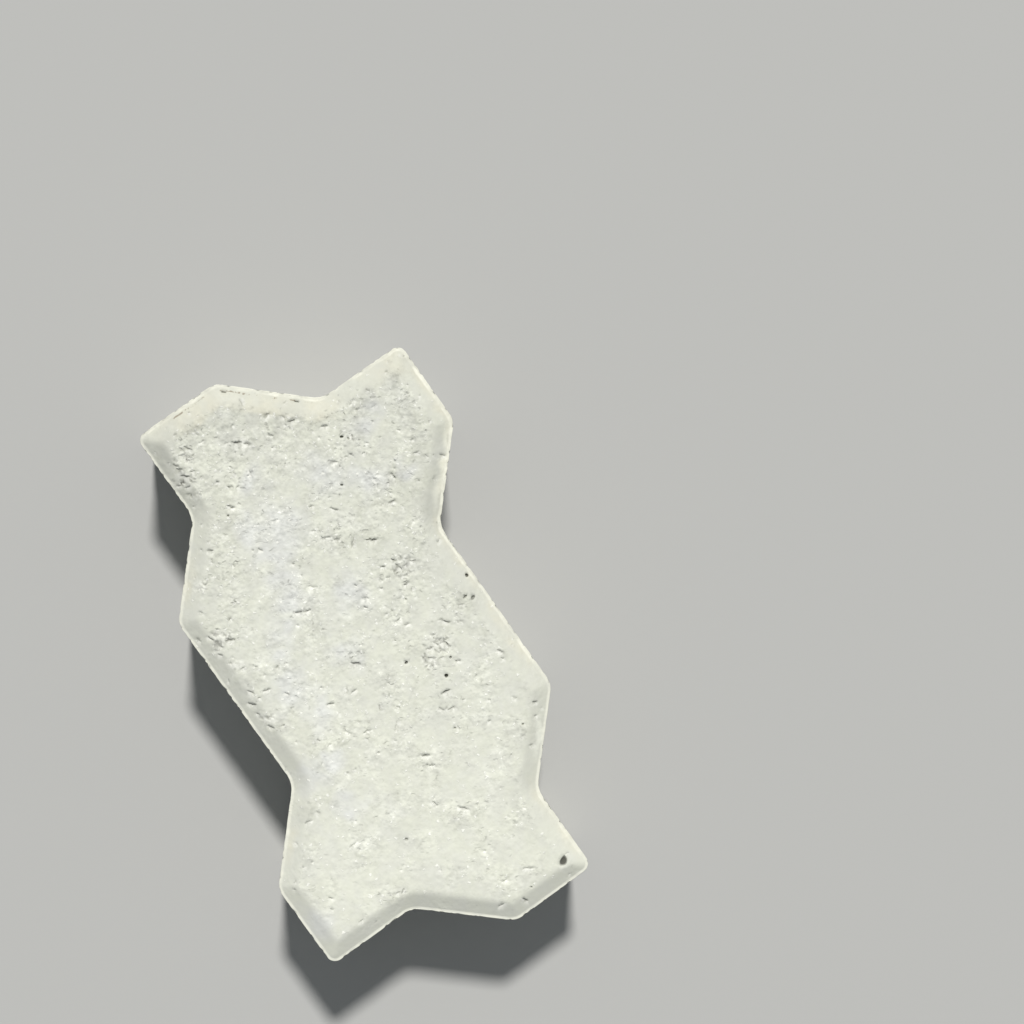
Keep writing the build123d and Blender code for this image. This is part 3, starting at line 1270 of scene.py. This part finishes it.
# %% Group: strokes
GATE_SOFTNESS = 0.2
tree, given, result = new_group(
    "Strokes",
    {"Vector": ("Vector", None), "Lines per metre": ("Float", 330.0), "Width": ("Float", 0.07),
     "Gaps per metre": ("Float", 300.0), "Gate": ("Float", 0.58), "Stretch": ("Vector", (1.0, 1.0, 1.0)),
     "Turn": ("Float", 0.0)},
    ["Mask"],
)
wander = cloud_noise(tree, stretched(tree, given), given["Lines per metre"], detail=1.5)["Fac"]
off_line = maths(tree, "ABSOLUTE", maths(tree, "SUBTRACT", wander, NOISE_MIDDLE))
thin = ramp(tree, off_line, given["Width"], 0.0)
gate = cloud_noise(tree, given["Vector"], given["Gaps per metre"], detail=1.0)["Fac"]
opened = ramp(tree, gate, given["Gate"], maths(tree, "ADD", given["Gate"], GATE_SOFTNESS))
tree.links.new(maths(tree, "MULTIPLY", thin, opened), result["Mask"])
broken_strokes = tree
print(broken_strokes.name, "has", len(broken_strokes.nodes), "nodes")

# %% [markdown]
# ## Clouding
# Lime that rose to the top as the stone hardened left it uneven in colour: cool pale clouds a few
# centimetres wide, and small yellowish blotches between them. One group gives both as masks, and a value
# that makes the concrete a little paler and darker from place to place.

# %% Group: clouding
CLOUD_SHIFT = (120.0, 0.008)
CLOUD_LIMITS = (0.40, 0.62)
BLOTCH_LIMITS = (0.35, 0.65)
tree, given, result = new_group(
    "Clouding",
    {"Vector": ("Vector", None), "Clouds per metre": ("Float", 30.0), "Blotches per metre": ("Float", 160.0)},
    ["Cloud", "Blotch", "Shade"],
)
drifted = shifted(tree, given["Vector"], *CLOUD_SHIFT)
rough = {"detail": 3.0, "roughness": 0.6}
wide = cloud_noise(tree, drifted, given["Clouds per metre"], **rough)["Fac"]
narrow = cloud_noise(tree, given["Vector"], given["Blotches per metre"], **rough)
parts = add(tree, "ShaderNodeSeparateColor", {0: narrow["Color"]}).outputs
tree.links.new(ramp(tree, wide, *CLOUD_LIMITS), result["Cloud"])
tree.links.new(ramp(tree, parts[0], *BLOTCH_LIMITS), result["Blotch"])
tree.links.new(parts[1], result["Shade"])
clouding = tree
print("Node groups:", [group.name for group in bpy.data.node_groups])

# %% [markdown]
# ## The concrete of each face
# The four materials use the same groups and the same cream-grey cement, each with strengths of its own:
# the wearing face is sandy and speckled, the chamfer smooth, and the sides and the underside open and
# dull. We write each part of the material as a function, and a look names how strong its effects are.

# %% Read the skin and the groups
QUARTZ_CELLS = 620.0
QUARTZ_SIZE = 0.4
LEAST_LIVELY = 0.42
EDGE_WOBBLE = 1.6


def use_group(tree, group, inputs):
    """Places a group in a material, fills its inputs and returns its outputs."""
    return add(tree, "ShaderNodeGroup", inputs, node_tree=group).outputs


def effects_of(tree, look):
    """All that a finish is made of, by name: what each point keeps, and what the groups draw."""
    where = add(tree, "ShaderNodeTexCoord").outputs["Object"]
    found = {name: add(tree, "ShaderNodeAttribute", attribute_name=name).outputs["Fac"] for name in kept}
    sand = use_group(tree, sand_grain, {"Vector": where})
    clouds = use_group(tree, clouding, {"Vector": where})
    found |= {"sand": sand["Tone"], "sand_height": sand["Height"], "cloud": clouds["Cloud"],
              "blotch": clouds["Blotch"], "shade": clouds["Shade"]}
    share = maths(tree, "MULTIPLY_ADD", found["open"], look["follows"], 1.0 - look["follows"])
    chosen = {"Vector": where, "Cells per metre": QUARTZ_CELLS, "Size": QUARTZ_SIZE}
    chosen["Share"] = maths(tree, "MULTIPLY", share, look["quartz"])
    drawn = {"Vector": where, "Stretch": look["stretch"], "Turn": look["turn"]}
    strokes = use_group(tree, broken_strokes, drawn | {"Gate": look["gate"], "Width": look["width"]})
    pitted = use_group(tree, pits, drawn | {"Limit": look["limit"]})
    found["quartz"] = use_group(tree, specks, chosen)["Mask"]
    found["strokes"] = maths(tree, "MULTIPLY", strokes["Mask"], share)
    found["pits"] = maths(tree, "MULTIPLY", pitted["Mask"], share)
    found["lively"] = maths(tree, "ADD", found["open"], LEAST_LIVELY)
    off_edge = maths(tree, "SUBTRACT", found["inset"], EDGE_WOBBLE / 2)
    found["off_edge"] = maths(tree, "MULTIPLY_ADD", found["shade"], EDGE_WOBBLE, off_edge)
    return found


print("A finish reads", len(kept), "values of each point and", len(bpy.data.node_groups), "groups")

# %% Colour and tone of the cement
CREAM = (0.626, 0.632, 0.562, 1)
COOL = (0.626, 0.634, 0.610, 1)
YELLOW = (0.644, 0.655, 0.556, 1)
# The cream edges: sand, with painted warm light where they face the lamp
SANDY_AND_SUNLIT = (0.670, 0.655, 0.545, 1)
# Pale quartz; the rims of tears take this colour too, as bare cement with a painted highlight
QUARTZ_AND_HIGHLIGHT = (0.820, 0.820, 0.760, 1)
CLEAN_AND_LIT_SAND = (0.38, 0.58)


def mix_colour(tree, share, first, second):
    """Mixes two colours by a share from 0 to 1."""
    return add(tree, "ShaderNodeMix", {0: share, 6: first, 7: second}, data_type="RGBA").outputs[2]


def cement_colour(tree, found, look):
    """Cream cement with cool clouds, yellow blotches between them, cream edges of sand and painted warm
    light,
    clean grains, and the pale rims of tears: bare cement and painted highlight.
    """
    cloud = maths(tree, "MULTIPLY", found["cloud"], look["cloud"])
    cloud = maths(tree, "MAXIMUM", cloud, maths(tree, "MULTIPLY", found["cool"], look["cool"]))
    colour = mix_colour(tree, cloud, CREAM, COOL)
    blotch = maths(tree, "MULTIPLY", found["blotch"], look["blotch"])
    blotch = maths(tree, "MULTIPLY", blotch, maths(tree, "SUBTRACT", 1.0, cloud))
    colour = mix_colour(tree, blotch, colour, YELLOW)
    # Cream edges of sand, with painted warm light on the sides that face the lamp
    colour = mix_colour(tree, maths(tree, "MULTIPLY", found["bloom_and_light"], look["bloom_and_light"]), colour, SANDY_AND_SUNLIT)
    # Clean grains in open patches, and on the rims of tears bare cement with a painted highlight
    clean_and_lit = maths(tree, "MULTIPLY", found["pale"], ramp(tree, found["sand"], *CLEAN_AND_LIT_SAND))
    clean_and_lit = maths(tree, "MULTIPLY", clean_and_lit, look["pale"])
    polished = maths(tree, "MULTIPLY", found["quartz"], look["quartz_tone"])
    return mix_colour(tree, maths(tree, "MAXIMUM", polished, clean_and_lit), colour, QUARTZ_AND_HIGHLIGHT)


def toned(tree, colour, found, look):
    """Makes a colour paler and darker from grain to grain, more so where the surface is open."""
    sand = maths(tree, "SUBTRACT", found["sand"], NOISE_MIDDLE)
    shade = maths(tree, "SUBTRACT", found["shade"], NOISE_MIDDLE)
    change = maths(tree, "MULTIPLY_ADD", shade, look["shade"], maths(tree, "MULTIPLY", sand, look["grain"]))
    change = maths(tree, "MULTIPLY_ADD", change, found["lively"], 1.0)
    return vector_maths(tree, "SCALE", colour, maths(tree, "MULTIPLY", change, found["tone"]))


for name, colour in (("cream", CREAM), ("cool", COOL)):
    print("Blue by red in", name, "cement:", round(colour[2] / colour[0], 2))

# %% Lime on the land and dirt at the foot of the chamfer
LIME = (0.715, 0.710, 0.620)
# The lime is paler on the cream edges that face the lamp, which paints light on the land
LIME_BY_BLOOM_AND_LIGHT = 0.13
LIME_WIDER = 0.6
LIME_BAND = (2.6, 1.7)
LEAST_LIME = 0.3
DIRT = (0.24, 0.20, 0.15, 1)
FOOT_LINE = 3.4
LINE_HALF = (0.5, 0.1)
LINE_BREAKS = (0.4, 0.7)
DIRTY_SAND = (0.46, 0.56)


def limed(tree, colour, found, look):
    """Adds the line of lime on the land; on the cream edges it is wider, and paler with painted light."""
    lime_end = maths(tree, "MULTIPLY_ADD", found["bloom_and_light"], -LIME_WIDER, found["off_edge"])
    edge = maths(tree, "MULTIPLY", ramp(tree, lime_end, *LIME_BAND), look["lime"])
    broken = maths(tree, "MULTIPLY_ADD", found["blotch"], 1.0 - LEAST_LIME, LEAST_LIME)
    tone = maths(tree, "MULTIPLY_ADD", found["bloom_and_light"], LIME_BY_BLOOM_AND_LIGHT, 1.0)
    lime = vector_maths(tree, "SCALE", LIME, tone)
    return mix_colour(tree, maths(tree, "MULTIPLY", edge, broken), colour, lime)


def dirtied(tree, colour, found, look):
    """Adds the broken line of dirt at the foot of the chamfer."""
    off_foot = maths(tree, "ABSOLUTE", maths(tree, "SUBTRACT", found["off_edge"], FOOT_LINE))
    broken = ramp(tree, found["blotch"], *LINE_BREAKS)
    line = maths(tree, "MULTIPLY", ramp(tree, off_foot, *LINE_HALF), broken)
    line = maths(tree, "MULTIPLY", line, ramp(tree, found["sand"], *DIRTY_SAND))
    line = maths(tree, "MULTIPLY", line, maths(tree, "MULTIPLY", found["foot_dirt"], look["foot_dirt"]))
    return mix_colour(tree, line, colour, DIRT)


print("Lime fades out", LIME_BAND[0], "mm from the laying grid, and dirt lies", FOOT_LINE, "mm from it")

# %% Shade in the marks, and fine relief
SHADE = (0.055, 0.055, 0.045, 1)


def shaded(tree, colour, found, look):
    """Paints shade into the marks, the strokes and the pits."""
    dark = maths(tree, "MULTIPLY", found["hollow"], look["hollow"])
    dark = maths(tree, "MAXIMUM", dark, maths(tree, "MULTIPLY", found["strokes"], look["stroke_tone"]))
    dark = maths(tree, "MAXIMUM", dark, maths(tree, "MULTIPLY", found["pits"], look["pit_tone"]))
    return mix_colour(tree, dark, colour, SHADE)


def fine_relief(tree, found, look):
    """The normal of a surface with raised grains and sunken strokes and pits."""
    depth = maths(tree, "MULTIPLY", found["lively"], look["sand_depth"])
    height = maths(tree, "MULTIPLY", found["sand_height"], depth)
    height = maths(tree, "MULTIPLY_ADD", found["strokes"], -look["stroke_depth"], height)
    height = maths(tree, "MULTIPLY_ADD", found["pits"], -look["pit_depth"], height)
    height = maths(tree, "MULTIPLY_ADD", found["quartz"], look["quartz_rise"], height)
    return add(tree, "ShaderNodeBump", {"Height": height, "Distance": MM, "Strength": 1.0}).outputs[0]


print("Shade is", round(SHADE[0] / CREAM[0], 2), "times as bright as cement")

# %% A material of pressed concrete
ROUGHER_GRAINS = 0.12
SPECULAR = 0.35


def concrete(name, look):
    """A material of pressed concrete; look names the strength of each effect."""
    material = bpy.data.materials.new(name)
    material.use_nodes = True
    tree = material.node_tree
    tree.nodes.clear()
    found = effects_of(tree, look)
    colour = cement_colour(tree, found, look)
    for change in (toned, limed, dirtied, shaded):
        colour = change(tree, colour, found, look)
    rough = maths(tree, "MULTIPLY_ADD", found["sand"], ROUGHER_GRAINS, look["roughness"] - ROUGHER_GRAINS / 2)
    finish = {"Base Color": colour, "Roughness": rough, "Normal": fine_relief(tree, found, look)}
    finish["Specular IOR Level"] = SPECULAR
    surface = add(tree, "ShaderNodeBsdfPrincipled", finish)
    add(tree, "ShaderNodeOutputMaterial", {"Surface": surface.outputs[0]})
    return material


# %% Four finishes
TEAR_TURN = -math.radians(ACROSS)
wearing_look = {
    "cloud": 0.15, "cool": 0.85, "blotch": 0.55, "bloom_and_light": 0.8, "grain": 0.35, "shade": 0.50, "lime": 0.8,
    "quartz": 0.48, "quartz_tone": 0.95, "quartz_rise": 0.1, "sand_depth": 0.6, "pale": 1.0,
    "foot_dirt": 0.85, "limit": 0.62, "pit_depth": 0.2, "pit_tone": 0.2, "gate": 0.60, "width": 0.07,
    "stroke_tone": 0.56, "stroke_depth": 0.25, "stretch": (0.82, 1.0, 1.0), "turn": TEAR_TURN,
    "hollow": 0.93, "follows": 0.75, "roughness": 0.86,
}
chamfer_look = wearing_look | {
    "grain": 0.16, "shade": 0.14, "quartz": 0.08, "gate": 0.68, "sand_depth": 0.25, "limit": 0.72,
    "blotch": 0.4, "roughness": 0.84,
}
side_look = wearing_look | {
    "stretch": (1.0, 1.0, 0.5), "turn": 0.0, "gate": 0.56, "grain": 0.36, "sand_depth": 0.9, "limit": 0.58,
    "cloud": 0.5, "cool": 0.0, "bloom_and_light": 0.0, "lime": 0.0, "foot_dirt": 0.0, "follows": 0.3,
    "stroke_tone": 0.22, "stroke_depth": 0.15, "pit_tone": 0.3, "pit_depth": 0.35, "roughness": 0.92,
}
bed_look = side_look | {"stretch": (1.0, 1.0, 1.0), "gate": 0.53}
finishes = {"Concrete, wearing face": wearing_look, "Concrete, chamfer and land": chamfer_look,
            "Concrete, sides": side_look, "Concrete, underside": bed_look}
for name, look in finishes.items():
    mesh.materials.append(concrete(name, look))
print("Finishes:", [material.name for material in mesh.materials])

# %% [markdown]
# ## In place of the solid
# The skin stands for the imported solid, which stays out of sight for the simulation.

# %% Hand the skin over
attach(stone, "root")
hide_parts("paving_stone")
print(stone.name, "stands in for paving_stone")

# %% [markdown]
# ## Studio
# A pale floor, one soft lamp from behind the stone's head, and a pale sky that fills the shadows. The
# lamp stands a little over halfway up the sky, low enough to draw the chamfers and the tears.

# %% Floor
FLOOR_HALF = 40.0
FLOOR_COLOUR = (0.42, 0.42, 0.41, 1)
FLOOR_ROUGHNESS = 0.95
floor_mesh = bpy.data.meshes.new("floor")
corners = [(x * FLOOR_HALF, y * FLOOR_HALF, 0) for x, y in ((-1, -1), (1, -1), (1, 1), (-1, 1))]
floor_mesh.from_pydata(corners, [], [(0, 1, 2, 3)])
floor = bpy.data.objects.new("floor", floor_mesh)
bpy.context.scene.collection.objects.link(floor)
floor_material = bpy.data.materials.new("Studio floor")
floor_material.use_nodes = True
floor_shader = floor_material.node_tree.nodes["Principled BSDF"]
floor_shader.inputs["Base Color"].default_value = FLOOR_COLOUR
floor_shader.inputs["Roughness"].default_value = FLOOR_ROUGHNESS
floor_mesh.materials.append(floor_material)
print("The floor is", 2 * FLOOR_HALF, "m wide")

# %% Lamp and sky
TOWARDS_LAMP = Vector((-0.532, 0.197, 0.823))
LAMP_STRENGTH = 3.7
LAMP_WIDTH = math.radians(6)
LAMP_COLOUR = (1.0, 0.985, 0.955)
SKY_COLOUR = (0.90, 0.96, 1.0, 1)
SKY_STRENGTH = 0.27
lamp_data = bpy.data.lights.new("key", "SUN")
lamp_data.energy = LAMP_STRENGTH
lamp_data.angle = LAMP_WIDTH
lamp_data.color = LAMP_COLOUR
lamp = bpy.data.objects.new("key", lamp_data)
lamp.rotation_mode = "QUATERNION"
lamp.rotation_quaternion = TOWARDS_LAMP.to_track_quat("Z", "Y")
bpy.context.scene.collection.objects.link(lamp)
sky = bpy.data.worlds.new("sky")
sky.use_nodes = True
sky.node_tree.nodes["Background"].inputs["Color"].default_value = SKY_COLOUR
sky.node_tree.nodes["Background"].inputs["Strength"].default_value = SKY_STRENGTH
bpy.context.scene.world = sky
bpy.context.scene.view_settings.view_transform = "Standard"
lamp_height = math.degrees(math.asin(TOWARDS_LAMP.normalized().z))
print("The lamp stands", round(lamp_height), "degrees above the floor")

# %% [markdown]
# ## Camera
# A 70 mm lens, 85 cm above the floor and leaning five degrees, with the stone's head pointing up and to
# the left in the picture.

# %% Camera
CAMERA_PLACE = Vector((-59.9, 9.0, 850.0)) * MM
LOOKS_AT = Vector((-32.8, 74.0, 58.0)) * MM
PICTURE_UP = math.radians(159.65)
LENS = 70
SENSOR = 36
camera_data = bpy.data.cameras.new("camera")
camera_data.lens = LENS
camera_data.sensor_width = SENSOR
camera = bpy.data.objects.new("camera", camera_data)
bpy.context.scene.collection.objects.link(camera)
back = (CAMERA_PLACE - LOOKS_AT).normalized()
right = Vector((math.cos(PICTURE_UP), math.sin(PICTURE_UP), 0)).cross(back).normalized()
turned = Matrix((right, back.cross(right), back)).transposed().to_4x4()
camera.matrix_world = Matrix.Translation(CAMERA_PLACE) @ turned
bpy.context.scene.camera = camera
print("The camera stands", round((CAMERA_PLACE - LOOKS_AT).length, 3), "m away")
